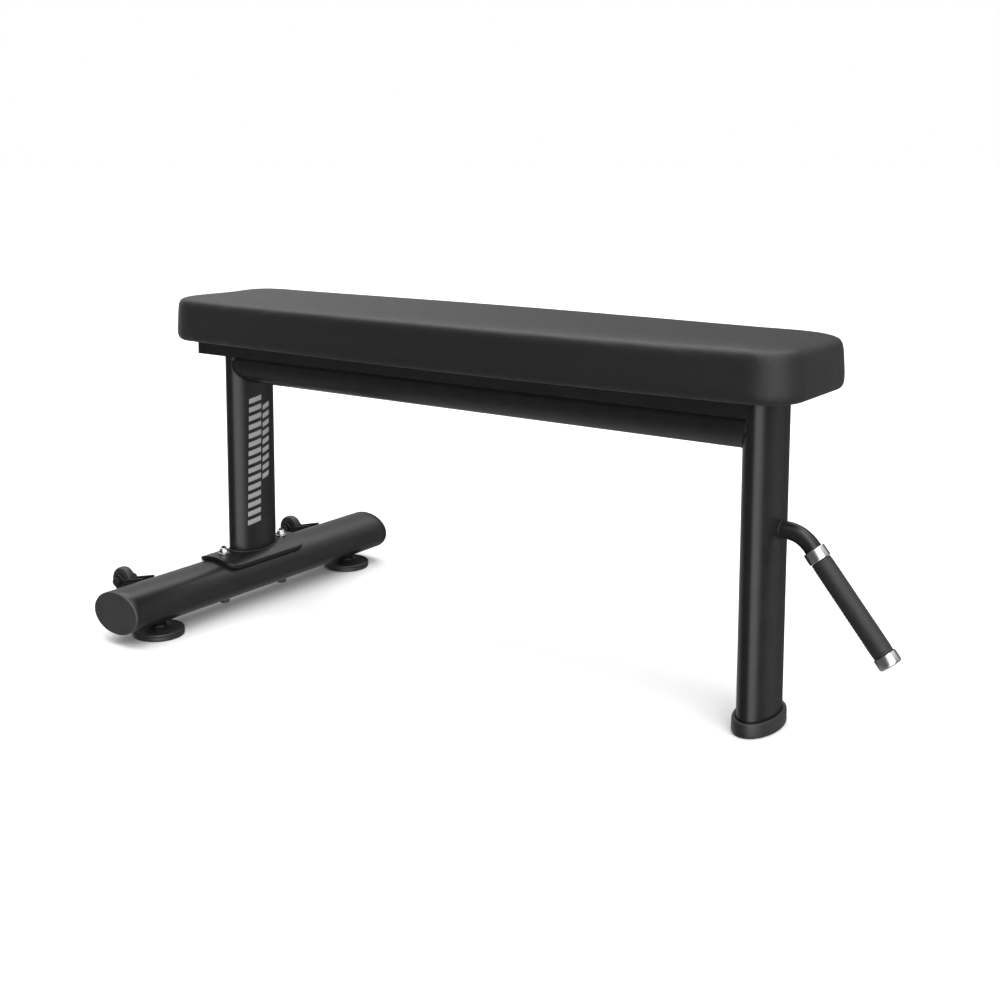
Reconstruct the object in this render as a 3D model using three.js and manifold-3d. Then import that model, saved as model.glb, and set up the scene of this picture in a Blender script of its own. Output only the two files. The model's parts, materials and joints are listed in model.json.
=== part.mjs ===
// Flat weight bench: a level pad on a frame of oval tubes, with two levelling feet and two transport
// wheels under one end, and a carrying handle at the other.
// Millimetres, +Z up, +X towards the handle end. The origin is on the floor, in the middle of the
// bench's footprint. The bench is laid out about the point midway between its two uprights.
import * as THREE from 'three';
import { mergeVertices } from 'three/addons/utils/BufferGeometryUtils.js';
import Module from 'manifold-3d';

const wasm = await Module();
wasm.setup();

// ---- driving dimensions ----

const GAP = 0.3;                     // clearance between pieces that touch
const SMOOTH = 20;                   // curve segments on ovals: twice this many points go round

const UPRIGHT = { halfX: 25, halfY: 51, wall: 3 };
const LYING_TUBE = { half: 50, halfZ: 34, wall: 3 };
const WHEEL_END_X = -475;
const HANDLE_END_X = 475;

const BASE_Z = 51;
const BASE_LENGTH = 604;
const CAP_DISC = 4;
const CAP_PLUG = 18;
const CAP_WALL = 3;

const SADDLE = { thickness: 7, from: 40, to: 140, length: 190, cornerRadius: 24 };
const SADDLE_BOLT_Y = 70;
const THREAD_END = 2.5;               // how far a bolt's end stands out of its nut
const SADDLE_BOLT = {
  radius: 4, head: 8.5, headHeight: 7, washer: 9, washerThickness: 1.8, nut: 7.5, nutHeight: 8,
};

const CROSSBAR_Z = 414;
const CHANNEL = { width: 102, height: 30, wall: 4, bottom: 428, start: -545 };
const PAD_BOTTOM = CHANNEL.bottom + CHANNEL.height + GAP;

const PAD = { start: -561, end: 555, height: 70, endHalf: 116, midHalf: 138, corner: 62, round: 11 };
const BOARD = { inset: 16, thickness: 15 };
const PAD_BOLT_XS = [-320, 0, 320];
const PAD_BOLT = { radius: 4, head: 7.5, headHeight: 5.5, washer: 8, washerThickness: 1.6, spacer: 12 };

const BOOT = { wall: 6.5, height: 20, floor: 5, bevel: 1.5 };
const TOP_PLATE = 6;

const FOOT = {
  inboard: 13, y: 230, radius: 41.5, tread: 7, rim: 3.4, top: 12.4, neck: 13, stud: 8, socket: 2, reach: 34,
};
const FOOT_NUT = { radius: 14, height: 4 };

const WHEEL = { x: -575, y: 202, z: 62, radius: 22, width: 15, hub: 14.5, boss: 1 };
const AXLE = {
  radius: 4, head: 7.5, headHeight: 5.5, washer: 8.5, washerThickness: 1.6, nut: 7.5, nutHeight: 7,
};
const BRACKET = { ear: 4, round: 11, top: 78, inner: -515, web: 4, webX: -540 };

const HANDLE = { z: 276, radius: 12, wall: 2.5, straight: 7, bend: 45, tilt: 51 };
const COLLAR = { start: 4.5, radius: 15.6, length: 16 };
const GRIP = { radius: 14.6, length: 140 };
const END_CAP = { radius: 16, length: 16, plug: 14 };

// ---- materials ----

const standard = (color, roughness, metalness) => () =>
  new THREE.MeshStandardMaterial({ color, roughness, metalness });
const paint = standard(0x26282a, 0.35, 0.3);
const vinyl = standard(0x1d1d1e, 0.5, 0);
const plywood = standard(0xb08a5a, 0.8, 0);
const rubber = standard(0x121212, 0.8, 0);
const plastic = standard(0x1a1a1b, 0.55, 0);
const zinc = standard(0xb9bbbd, 0.35, 0.9);
const blackSteel = standard(0x232325, 0.45, 0.8);
const chrome = standard(0xe2e4e6, 0.12, 1);

// ---- solids ----

const AXES = {
  x: new THREE.Matrix4().set(0, 0, 1, 0, 1, 0, 0, 0, 0, 1, 0, 0, 0, 0, 0, 1),
  y: new THREE.Matrix4().set(1, 0, 0, 0, 0, 0, -1, 0, 0, 1, 0, 0, 0, 0, 0, 1),
  z: new THREE.Matrix4(),
};

// Extrudes a shape along an axis. The shape's plane is YZ for x, XZ for y and XY for z.
function prism(shape, axis, from, to, options = {}) {
  const settings = { depth: to - from, bevelEnabled: false, curveSegments: SMOOTH, ...options };
  const geometry = new THREE.ExtrudeGeometry(shape, settings);
  geometry.applyMatrix4(AXES[axis]);
  const start = { x: [from, 0, 0], y: [0, to, 0], z: [0, 0, from] }[axis];
  return geometry.translate(...start);
}

function ellipse(halfWidth, halfHeight) {
  const shape = new THREE.Shape();
  shape.absellipse(0, 0, halfWidth, halfHeight, 0, 2 * Math.PI);
  return shape;
}

function ellipseRing(halfWidth, halfHeight, wall) {
  const shape = ellipse(halfWidth, halfHeight);
  shape.holes.push(ellipse(halfWidth - wall, halfHeight - wall));
  return shape;
}

function rod(radius, axis, from, to, curveSegments = 8) {
  return prism(ellipse(radius, radius), axis, from, to, { curveSegments });
}

function hexagon(radius) {
  const corners = Array.from({ length: 6 }, (_, side) => {
    const angle = side * Math.PI / 3;
    return new THREE.Vector2(radius * Math.cos(angle), radius * Math.sin(angle));
  });
  return new THREE.Shape(corners);
}

// Turns a closed profile of [radius, height] points about +Z.
function turned(profile, segments = 20) {
  const points = profile.map(([radius, height]) => new THREE.Vector2(radius, height));
  return new THREE.LatheGeometry(points, segments).rotateX(Math.PI / 2);
}

function toManifold(geometry) {
  const bare = new THREE.BufferGeometry();
  bare.setAttribute('position', geometry.attributes.position);
  bare.setIndex(geometry.index);
  const merged = mergeVertices(bare);
  const corners = merged.index.array;
  const triangles = [];
  for (let i = 0; i < corners.length; i += 3) {
    const [a, b, c] = corners.slice(i, i + 3);
    if (a !== b && b !== c && c !== a) triangles.push(a, b, c);
  }
  return new wasm.Manifold(new wasm.Mesh({
    numProp: 3,
    vertProperties: new Float32Array(merged.attributes.position.array),
    triVerts: new Uint32Array(triangles),
  }));
}

function fromManifold(manifold) {
  const mesh = manifold.getMesh();
  const geometry = new THREE.BufferGeometry();
  geometry.setAttribute('position', new THREE.BufferAttribute(mesh.vertProperties, 3));
  geometry.setIndex(new THREE.BufferAttribute(mesh.triVerts, 1));
  geometry.computeVertexNormals();
  return geometry;
}

function join(first, ...others) {
  return fromManifold(others.reduce((sum, other) => sum.add(toManifold(other)), toManifold(first)));
}

function cut(first, ...tools) {
  return fromManifold(tools.reduce((rest, tool) => rest.subtract(toManifold(tool)), toManifold(first)));
}

function common(first, second) {
  return fromManifold(toManifold(first).intersect(toManifold(second)));
}

// ---- assembly ----

const bench = new THREE.Group();

function part(name, geometry, material, position = [0, 0, 0], parent = bench) {
  const mesh = new THREE.Mesh(geometry, material());
  mesh.name = name;
  mesh.position.set(...position);
  parent.add(mesh);
}

const ENDS = [['front', -1], ['rear', 1]];

// ---- base: the cross tube, its end caps and the saddle plate ----

// The outside of the base tube, grown by an offset, as a cutting tool along Y.
const baseOutside = (offset) =>
  prism(ellipse(LYING_TUBE.half + offset, LYING_TUBE.halfZ + offset), 'y', -400, 400)
    .translate(WHEEL_END_X, 0, BASE_Z);

function baseTube() {
  const halfLength = BASE_LENGTH / 2;
  const section = ellipseRing(LYING_TUBE.half, LYING_TUBE.halfZ, LYING_TUBE.wall);
  const tube = prism(section, 'y', -halfLength, halfLength);
  const boltHoles = ENDS.map(([, side]) =>
    rod(SADDLE_BOLT.radius + GAP, 'z', -50, 50).translate(0, side * SADDLE_BOLT_Y, 0));
  const studHoles = ENDS.map(([, side]) =>
    rod(FOOT.stud + GAP, 'z', -50, 0).translate(FOOT.inboard, side * FOOT.y, 0));
  return cut(tube, ...boltHoles, ...studHoles);
}

// A round-edged disc over the tube's end, with a hollow plug inside the tube. It faces -Y.
function baseEndCap() {
  const bevel = 1.2;
  const face = ellipse(LYING_TUBE.half - bevel, LYING_TUBE.halfZ - bevel);
  const disc = prism(face, 'y', bevel - CAP_DISC, -bevel, {
    bevelEnabled: true, bevelSize: bevel, bevelThickness: bevel, bevelSegments: 1,
  });
  const inside = LYING_TUBE.wall + GAP;
  const ring = ellipseRing(LYING_TUBE.half - inside, LYING_TUBE.halfZ - inside, CAP_WALL);
  const plug = prism(ring, 'y', -1, CAP_PLUG);
  return join(disc, plug);
}

function saddlePlate() {
  const inner = GAP;
  const outer = GAP + SADDLE.thickness;
  const from = THREE.MathUtils.degToRad(SADDLE.from);
  const to = THREE.MathUtils.degToRad(SADDLE.to);
  const section = new THREE.Shape();
  section.absellipse(0, 0, LYING_TUBE.half + outer, LYING_TUBE.halfZ + outer, from, to);
  section.absellipse(0, 0, LYING_TUBE.half + inner, LYING_TUBE.halfZ + inner, to, from, true);
  const halfLength = SADDLE.length / 2;
  const plate = prism(section, 'y', -halfLength, halfLength);
  const halfWidth = (LYING_TUBE.half + outer) * Math.cos(from) + 1;
  const plan = prism(roundedRectangle(halfWidth, halfLength, SADDLE.cornerRadius), 'z', 0, 60);
  const boltHoles = ENDS.map(([, side]) =>
    rod(SADDLE_BOLT.radius + GAP, 'z', 0, 60).translate(0, side * SADDLE_BOLT_Y, 0));
  return cut(common(plate, plan), ...boltHoles);
}

function roundedRectangle(halfWidth, halfHeight, radius) {
  const shape = new THREE.Shape();
  const x = halfWidth - radius;
  const y = halfHeight - radius;
  shape.absarc(x, y, radius, 0, Math.PI / 2);
  shape.absarc(-x, y, radius, Math.PI / 2, Math.PI);
  shape.absarc(-x, -y, radius, Math.PI, 1.5 * Math.PI);
  shape.absarc(x, -y, radius, 1.5 * Math.PI, 2 * Math.PI);
  return shape;
}

part('base_tube', baseTube(), paint, [WHEEL_END_X, 0, BASE_Z]);
part('saddle_plate', saddlePlate(), paint, [WHEEL_END_X, 0, BASE_Z]);
for (const [end, side] of ENDS) {
  const cap = baseEndCap().rotateZ(side < 0 ? 0 : Math.PI);
  part(`base_end_cap_${end}`, cap, plastic, [WHEEL_END_X, side * (BASE_LENGTH / 2 + GAP), BASE_Z]);
}

// ---- saddle bolts: head and washer under the base tube, washer and nut on the saddle plate ----

function bolt(radius, length, headRadius, headHeight) {
  const shank = rod(radius, 'z', -0.5, length);
  const head = prism(hexagon(headRadius), 'z', -headHeight, 0);
  return join(shank, head);
}

function washer(holeRadius, outerRadius, thickness) {
  const shape = ellipse(outerRadius, outerRadius);
  shape.holes.push(ellipse(holeRadius, holeRadius));
  return prism(shape, 'z', 0, thickness, { curveSegments: 8 });
}

function hexNut(holeRadius, outerRadius, height) {
  const shape = hexagon(outerRadius);
  shape.holes.push(ellipse(holeRadius, holeRadius));
  return prism(shape, 'z', 0, height, { curveSegments: 8 });
}

const saddleTop = BASE_Z + LYING_TUBE.halfZ + GAP + SADDLE.thickness;
const tubeBottom = BASE_Z - LYING_TUBE.halfZ;
const saddleBoltSeat = tubeBottom - GAP - SADDLE_BOLT.washerThickness - GAP;
const saddleWasherZ = saddleTop + GAP;
const saddleNutZ = saddleWasherZ + SADDLE_BOLT.washerThickness + GAP;
const saddleBoltLength = saddleNutZ + SADDLE_BOLT.nutHeight + THREAD_END - saddleBoltSeat;
const saddleHole = SADDLE_BOLT.radius + GAP;
for (const [end, side] of ENDS) {
  const y = side * SADDLE_BOLT_Y;
  const { radius, head, headHeight, washer: washerRadius, washerThickness, nut, nutHeight } = SADDLE_BOLT;
  part(`saddle_bolt_${end}`, bolt(radius, saddleBoltLength, head, headHeight), blackSteel,
    [WHEEL_END_X, y, saddleBoltSeat]);
  part(`saddle_lower_washer_${end}`, washer(saddleHole, washerRadius, washerThickness), blackSteel,
    [WHEEL_END_X, y, saddleBoltSeat + GAP]);
  part(`saddle_washer_${end}`, washer(saddleHole, washerRadius, washerThickness), zinc,
    [WHEEL_END_X, y, saddleWasherZ]);
  part(`saddle_nut_${end}`, hexNut(saddleHole, nut, nutHeight), zinc, [WHEEL_END_X, y, saddleNutZ]);
}

// ---- uprights, crossbar and pad channel ----

const uprightTube = (from, to) =>
  prism(ellipseRing(UPRIGHT.halfX, UPRIGHT.halfY, UPRIGHT.wall), 'z', from, to);

const uprightOutside = (x) =>
  prism(ellipse(UPRIGHT.halfX + GAP, UPRIGHT.halfY + GAP), 'z', 0, 600).translate(x, 0, 0);

// Stands on the saddle plate, so its foot is coped to the plate's curve.
function wheelEndUpright() {
  const tube = uprightTube(BASE_Z + 28, CHANNEL.bottom - GAP).translate(WHEEL_END_X, 0, 0);
  return cut(tube, baseOutside(SADDLE.thickness + 2 * GAP));
}

const topPlateBottom = CHANNEL.bottom + CHANNEL.height - TOP_PLATE;

function crossbar() {
  const section = ellipseRing(LYING_TUBE.half - 1, LYING_TUBE.halfZ, LYING_TUBE.wall);
  const tube = prism(section, 'x', WHEEL_END_X, HANDLE_END_X).translate(0, 0, CROSSBAR_Z);
  const boltHoles = PAD_BOLT_XS.map((x) =>
    rod(PAD_BOLT.radius + GAP, 'z', CROSSBAR_Z, CROSSBAR_Z + 50).translate(x, 0, 0));
  const accessHoles = PAD_BOLT_XS.map((x) =>
    rod(11, 'z', CROSSBAR_Z - 50, CROSSBAR_Z).translate(x, 0, 0));
  return cut(tube, uprightOutside(WHEEL_END_X), uprightOutside(HANDLE_END_X), ...boltHoles, ...accessHoles);
}

// An inverted U that covers the crossbar's upper half. It ends against the handle-end upright.
function padChannel() {
  const { width, height, wall, bottom, start } = CHANNEL;
  const half = width / 2;
  const section = new THREE.Shape();
  section.moveTo(-half, 0);
  section.lineTo(-half + wall, 0);
  section.lineTo(-half + wall, height - wall);
  section.lineTo(half - wall, height - wall);
  section.lineTo(half - wall, 0);
  section.lineTo(half, 0);
  section.absarc(half - wall, height - wall, wall, 0, Math.PI / 2);
  section.absarc(-half + wall, height - wall, wall, Math.PI / 2, Math.PI);
  const channel = prism(section, 'x', start, HANDLE_END_X, { curveSegments: 4 }).translate(0, 0, bottom);
  const boltHoles = PAD_BOLT_XS.map((x) =>
    rod(PAD_BOLT.radius + GAP, 'z', bottom, bottom + 50).translate(x, 0, 0));
  return cut(channel, uprightOutside(HANDLE_END_X), ...boltHoles);
}

const bootTop = BOOT.floor + GAP;
part('wheel_end_upright', wheelEndUpright(), paint);
part('crossbar', crossbar(), paint);
part('handle_end_upright', uprightTube(bootTop, topPlateBottom - GAP), paint, [HANDLE_END_X, 0, 0]);
part('upright_top_plate', prism(ellipse(UPRIGHT.halfX, UPRIGHT.halfY), 'z', 0, TOP_PLATE), paint,
  [HANDLE_END_X, 0, topPlateBottom]);
part('pad_channel', padChannel(), paint);

// ---- rubber boot on the foot of the handle-end upright ----

function boot() {
  const { wall, height, floor, bevel } = BOOT;
  const outer = ellipse(UPRIGHT.halfX + wall - bevel, UPRIGHT.halfY + wall - bevel);
  const body = prism(outer, 'z', bevel, height - bevel, {
    bevelEnabled: true, bevelSize: bevel, bevelThickness: bevel, bevelSegments: 1,
  });
  const socket = prism(ellipse(UPRIGHT.halfX + GAP, UPRIGHT.halfY + GAP), 'z', floor, height + 10);
  return cut(body, socket);
}

part('upright_boot', boot(), rubber, [HANDLE_END_X, 0, 0]);

// ---- pad: plywood board, upholstered cushion, and the bolts up through the channel ----

// A rectangle with round corners and long sides that bow outwards, inset all round.
function padOutline(inset) {
  const left = PAD.start + inset;
  const right = PAD.end - inset;
  const centre = (left + right) / 2;
  const radius = PAD.corner - inset;
  const half = (right - left) / 2;
  const halfWidthAt = (x) =>
    PAD.endHalf - inset + (PAD.midHalf - PAD.endHalf) * (1 - ((x - centre) / half) ** 2);
  const shoulder = halfWidthAt(right - radius);
  const crown = 2 * PAD.midHalf - 2 * inset - shoulder;
  const shape = new THREE.Shape();
  shape.moveTo(left + radius, -shoulder);
  shape.quadraticCurveTo(centre, -crown, right - radius, -shoulder);
  shape.absarc(right - radius, -shoulder + radius, radius, -Math.PI / 2, 0);
  shape.absarc(right - radius, shoulder - radius, radius, 0, Math.PI / 2);
  shape.quadraticCurveTo(centre, crown, left + radius, shoulder);
  shape.absarc(left + radius, shoulder - radius, radius, Math.PI / 2, Math.PI);
  shape.absarc(left + radius, -shoulder + radius, radius, Math.PI, 1.5 * Math.PI);
  return shape;
}

const teeNut = { flange: 11, thickness: 1.5, barrel: 5.5, depth: 9 };

function padBoard() {
  const board = prism(padOutline(BOARD.inset), 'z', 0, BOARD.thickness, { curveSegments: 6 });
  const barrelHoles = PAD_BOLT_XS.map((x) =>
    rod(teeNut.barrel + GAP, 'z', -5, BOARD.thickness + 5).translate(x, 0, 0));
  return cut(board, ...barrelHoles);
}

function padCushion() {
  const { height, round } = PAD;
  const body = prism(padOutline(round), 'z', round, height - round, {
    bevelEnabled: true, bevelSize: round, bevelThickness: round, bevelSegments: 2, curveSegments: 6,
  });
  const pocket = prism(padOutline(BOARD.inset - GAP), 'z', -5, BOARD.thickness + GAP, { curveSegments: 6 });
  const nutRecesses = PAD_BOLT_XS.map((x) =>
    rod(teeNut.flange + 1, 'z', BOARD.thickness - 2, BOARD.thickness + 4).translate(x, 0, 0));
  return cut(body, pocket, ...nutRecesses);
}

// Flange up, barrel down into the board.
function padTeeNut() {
  const { flange, thickness, barrel, depth } = teeNut;
  const body = join(rod(flange, 'z', 0, thickness), rod(barrel, 'z', -depth, 0.5));
  return cut(body, rod(PAD_BOLT.radius + GAP, 'z', -depth - 5, thickness + 5));
}

part('pad_board', padBoard(), plywood, [0, 0, PAD_BOTTOM]);
part('pad_cushion', padCushion(), vinyl, [0, 0, PAD_BOTTOM]);

const crossbarTop = CROSSBAR_Z + LYING_TUBE.halfZ;
const crossbarInside = crossbarTop - LYING_TUBE.wall;
const webBottom = CHANNEL.bottom + CHANNEL.height - CHANNEL.wall;
const boardTop = PAD_BOTTOM + BOARD.thickness;
const padBoltSeat = crossbarInside - 1 - PAD_BOLT.washerThickness - GAP;
const padBoltLength = boardTop - 1 - padBoltSeat;
const padHole = PAD_BOLT.radius + GAP;
PAD_BOLT_XS.forEach((x, index) => {
  const place = ['wheel_end', 'middle', 'handle_end'][index];
  const { radius, head, headHeight, washer: washerRadius, washerThickness, spacer } = PAD_BOLT;
  part(`pad_bolt_${place}`, bolt(radius, padBoltLength, head, headHeight), zinc, [x, 0, padBoltSeat]);
  part(`pad_bolt_washer_${place}`, washer(padHole, washerRadius, washerThickness), zinc,
    [x, 0, padBoltSeat + GAP]);
  part(`pad_spacer_${place}`, washer(padHole, spacer, webBottom - crossbarTop - 2 * GAP), zinc,
    [x, 0, crossbarTop + GAP]);
  part(`pad_tee_nut_${place}`, padTeeNut(), zinc, [x, 0, boardTop + GAP]);
});

// ---- levelling feet: rubber tread, coned disc, threaded stud and lock nut ----

function footTread() {
  const { radius, tread } = FOOT;
  const rim = [[radius - 1, 0], [radius, 1], [radius, tread - 1], [radius - 1, tread]];
  return turned([[0, 0], ...rim, [0, tread]]);
}

function footDisc() {
  const { radius, tread, rim, top, neck, stud, socket } = FOOT;
  const bottom = tread + GAP;
  const body = turned([
    [0, bottom], [radius - 1, bottom], [radius, bottom + 1], [radius, bottom + rim - 1],
    [radius - 1, bottom + rim], [neck + 6, top - 1.2], [neck, top], [0, top],
  ]);
  return cut(body, rod(stud + GAP, 'z', bottom + socket, top + 1));
}

for (const [end, side] of ENDS) {
  const place = [WHEEL_END_X + FOOT.inboard, side * FOOT.y, 0];
  const studBottom = FOOT.tread + FOOT.socket + 2 * GAP;
  const nutZ = tubeBottom - GAP - FOOT_NUT.height;
  part(`foot_tread_${end}`, footTread(), rubber, place);
  part(`foot_disc_${end}`, footDisc(), plastic, place);
  part(`foot_stud_${end}`, rod(FOOT.stud, 'z', studBottom, tubeBottom + FOOT.reach), blackSteel, place);
  part(`foot_nut_${end}`, hexNut(FOOT.stud + GAP, FOOT_NUT.radius, FOOT_NUT.height), blackSteel,
    [place[0], place[1], nutZ]);
}

// ---- transport wheels: forked bracket, tyre, hub, axle bolt, washer and lock nut ----

const earInside = WHEEL.width / 2 + WHEEL.boss + 1;

// A fork: two ears with round ends, joined by a web and coped to the base tube. It is made with the
// wheel's middle at Y = 0.
function wheelBracket() {
  const { ear, round, top, inner, web, webX } = BRACKET;
  const neck = WHEEL.x + round + 2;
  const shape = new THREE.Shape();
  shape.moveTo(inner, top);
  shape.lineTo(neck, WHEEL.z + 4.5);
  shape.absarc(WHEEL.x, WHEEL.z, round, Math.PI / 6, 5 / 3 * Math.PI);
  shape.lineTo(inner, BASE_Z - 6);
  const ears = [-earInside - ear, earInside].map((y) => prism(shape, 'y', y, y + ear, { curveSegments: 8 }));
  const webShape = roundedRectangle(web / 2, 8, 1);
  const webPlate = prism(webShape, 'y', -earInside - 1, earInside + 1, { curveSegments: 2 })
    .translate(webX, 0, WHEEL.z - 4);
  const reach = earInside + ear + GAP;
  const bore = rod(AXLE.radius + GAP, 'y', -reach, reach).translate(WHEEL.x, 0, WHEEL.z);
  return cut(join(webPlate, ...ears), bore, baseOutside(GAP));
}

function wheelTyre() {
  const { radius, width, hub } = WHEEL;
  const half = width / 2;
  const inner = hub + GAP;
  const shoulder = 2.5;
  return turned([
    [inner, -half], [radius - shoulder, -half], [radius, shoulder - half], [radius, half - shoulder],
    [radius - shoulder, half], [inner, half], [inner, -half],
  ], 24).rotateX(Math.PI / 2);
}

function wheelHub() {
  const { width, hub, boss } = WHEEL;
  const half = width / 2;
  const bore = AXLE.radius + GAP;
  const bossRadius = 7.5;
  const rim = hub - 2.5;
  const web = half - 2;
  return turned([
    [bore, -half - boss], [bossRadius, -half - boss], [bossRadius, -web], [rim, -web], [rim, -half],
    [hub, -half], [hub, half], [rim, half], [rim, web], [bossRadius, web], [bossRadius, half + boss],
    [bore, half + boss], [bore, -half - boss],
  ], 24).rotateX(Math.PI / 2);
}

const alongY = (geometry) => geometry.rotateX(-Math.PI / 2);
const earOutside = earInside + BRACKET.ear + GAP;
const axleNutY = earOutside + AXLE.washerThickness + GAP;
const axleLength = earOutside + axleNutY + AXLE.nutHeight + THREAD_END;
const axleHole = AXLE.radius + GAP;
for (const [end, side] of ENDS) {
  const centre = side * WHEEL.y;
  part(`wheel_bracket_${end}`, wheelBracket(), paint, [0, centre, 0]);
  part(`wheel_tyre_${end}`, wheelTyre(), rubber, [WHEEL.x, centre, WHEEL.z]);
  part(`wheel_hub_${end}`, wheelHub(), plastic, [WHEEL.x, centre, WHEEL.z]);
  const axleBolt = alongY(bolt(AXLE.radius, axleLength, AXLE.head, AXLE.headHeight));
  part(`wheel_axle_bolt_${end}`, axleBolt, blackSteel, [WHEEL.x, centre - earOutside, WHEEL.z]);
  part(`wheel_washer_${end}`, alongY(washer(axleHole, AXLE.washer, AXLE.washerThickness)), blackSteel,
    [WHEEL.x, centre + earOutside, WHEEL.z]);
  part(`wheel_lock_nut_${end}`, alongY(hexNut(axleHole, AXLE.nut, AXLE.nutHeight)), blackSteel,
    [WHEEL.x, centre + axleNutY, WHEEL.z]);
}

// ---- carrying handle: bent tube, collar, grip and end cap ----

const tilt = THREE.MathUtils.degToRad(HANDLE.tilt);
const bendStart = new THREE.Vector3(HANDLE_END_X + UPRIGHT.halfX + HANDLE.straight, 0, HANDLE.z);
const handleDown = new THREE.Vector3(Math.cos(tilt), 0, -Math.sin(tilt));
const bendEnd = bendStart.clone().add(
  new THREE.Vector3(HANDLE.bend * Math.sin(tilt), 0, -HANDLE.bend * (1 - Math.cos(tilt))));
const reach = 4 / 3 * Math.tan(tilt / 4) * HANDLE.bend;
const gripStart = COLLAR.start + COLLAR.length + GAP;
const capStart = gripStart + GRIP.length + GAP;

function handleTube() {
  const path = new THREE.CurvePath();
  const start = new THREE.Vector3(HANDLE_END_X + 10, 0, HANDLE.z);
  const bend = new THREE.CubicBezierCurve3(
    bendStart,
    bendStart.clone().add(new THREE.Vector3(reach, 0, 0)),
    bendEnd.clone().addScaledVector(handleDown, -reach),
    bendEnd,
  );
  path.add(new THREE.LineCurve3(start, bendStart));
  path.add(bend);
  path.add(new THREE.LineCurve3(bendEnd, bendEnd.clone().addScaledVector(handleDown, capStart - GAP)));
  const section = ellipseRing(HANDLE.radius, HANDLE.radius, HANDLE.wall);
  const tube = new THREE.ExtrudeGeometry(section, {
    extrudePath: path, steps: 16, bevelEnabled: false, curveSegments: 9,
  });
  return cut(tube, uprightOutside(HANDLE_END_X));
}

// Pieces threaded on the straight part of the handle are built along +Z and turned with it.
const handleAxis = new THREE.Group();
handleAxis.position.copy(bendEnd);
handleAxis.rotation.y = Math.PI / 2 + tilt;
bench.add(handleAxis);

function sleeve(inner, outer, length, chamfer) {
  return turned([
    [inner, 0], [outer - chamfer, 0], [outer, chamfer], [outer, length - chamfer], [outer - chamfer, length],
    [inner, length], [inner, 0],
  ]);
}

function handleEndCap() {
  const { radius, length, plug } = END_CAP;
  const plugRadius = HANDLE.radius - HANDLE.wall - GAP;
  return turned([
    [0, -plug], [plugRadius, -plug], [plugRadius, 0], [radius - 1, 0], [radius, 1],
    [radius, length - 3], [radius - 3, length], [0, length],
  ]);
}

const onHandle = HANDLE.radius + GAP;
part('handle_tube', handleTube(), paint);
part('handle_collar', sleeve(onHandle, COLLAR.radius, COLLAR.length, 1.5), chrome,
  [0, 0, COLLAR.start], handleAxis);
part('handle_grip', sleeve(onHandle, GRIP.radius, GRIP.length, 1), rubber, [0, 0, gripStart], handleAxis);
part('handle_end_cap', handleEndCap(), chrome, [0, 0, capStart], handleAxis);

// ---- the origin goes to the middle of the footprint ----

bench.updateMatrixWorld(true);
const bounds = new THREE.Box3().setFromObject(bench, true);
bench.position.x = -(bounds.min.x + bounds.max.x) / 2;
bench.updateMatrixWorld(true);

export default bench;
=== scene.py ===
"""Looks of the flat weight bench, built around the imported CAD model. Lengths are in metres."""

import json
import math
import random

import bmesh
import bpy
import numpy as np
from mathutils import Matrix, Vector


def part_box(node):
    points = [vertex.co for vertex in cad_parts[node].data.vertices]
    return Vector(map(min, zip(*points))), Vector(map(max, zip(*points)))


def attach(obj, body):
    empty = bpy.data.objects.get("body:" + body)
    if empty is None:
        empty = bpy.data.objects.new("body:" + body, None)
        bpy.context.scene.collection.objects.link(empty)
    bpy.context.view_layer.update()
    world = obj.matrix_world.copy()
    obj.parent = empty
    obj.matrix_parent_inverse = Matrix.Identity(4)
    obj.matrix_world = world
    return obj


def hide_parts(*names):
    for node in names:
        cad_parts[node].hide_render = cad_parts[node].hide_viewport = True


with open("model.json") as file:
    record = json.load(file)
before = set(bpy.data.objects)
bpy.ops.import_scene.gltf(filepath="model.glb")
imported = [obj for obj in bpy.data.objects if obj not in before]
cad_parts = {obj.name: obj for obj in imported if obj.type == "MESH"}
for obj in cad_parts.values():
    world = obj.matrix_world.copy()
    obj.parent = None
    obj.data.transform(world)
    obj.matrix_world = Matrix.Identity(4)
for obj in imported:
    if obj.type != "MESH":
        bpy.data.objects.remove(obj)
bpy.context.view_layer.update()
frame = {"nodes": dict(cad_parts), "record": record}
scene = bpy.context.scene

MM = 0.001
ENDS = ("front", "rear")
PAD_PLACES = ("wheel_end", "middle", "handle_end")


def box(node):
    low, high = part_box(node)
    return low, high, (low + high) / 2


def standing(node):
    """An upright round node's radius, its height and the middle of its underside."""
    low, high, middle = box(node)
    return (high.x - low.x) / 2, high.z - low.z, Vector((middle.x, middle.y, low.z))


def lying(node):
    """The radius and width of a round node that lies across the bench, and the middle of its front."""
    low, high, middle = box(node)
    return (high.x - low.x) / 2, high.y - low.y, Vector((middle.x, low.y, middle.z))


# ---- driving positions, from the frame ----

_, wheel_high, WHEEL_UP = box("wheel_end_upright")
handle_low, handle_high, HANDLE_UP = box("handle_end_upright")
base_low, base_high, BASE = box("base_tube")
bar_low, bar_high, BAR = box("crossbar")
channel_low, channel_high, _ = box("pad_channel")
pad_low, pad_high, PAD = box("pad_cushion")
board_low, board_high, _ = box("pad_board")
saddle_low, saddle_high, _ = box("saddle_plate")
MID_X = (WHEEL_UP.x + HANDLE_UP.x) / 2
WALL = 3 * MM
UP_A = (handle_high.x - handle_low.x) / 2
UP_B = (handle_high.y - handle_low.y) / 2
BASE_A = (base_high.x - base_low.x) / 2
BASE_B = (base_high.z - base_low.z) / 2
BAR_A = (bar_high.y - bar_low.y) / 2
BAR_B = (bar_high.z - bar_low.z) / 2
CHANNEL_HALF = (channel_high.y - channel_low.y) / 2
SADDLE_TOP = saddle_high.z
SADDLE_GROW = SADDLE_TOP - base_high.z
GAP = 0.3 * MM
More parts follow.
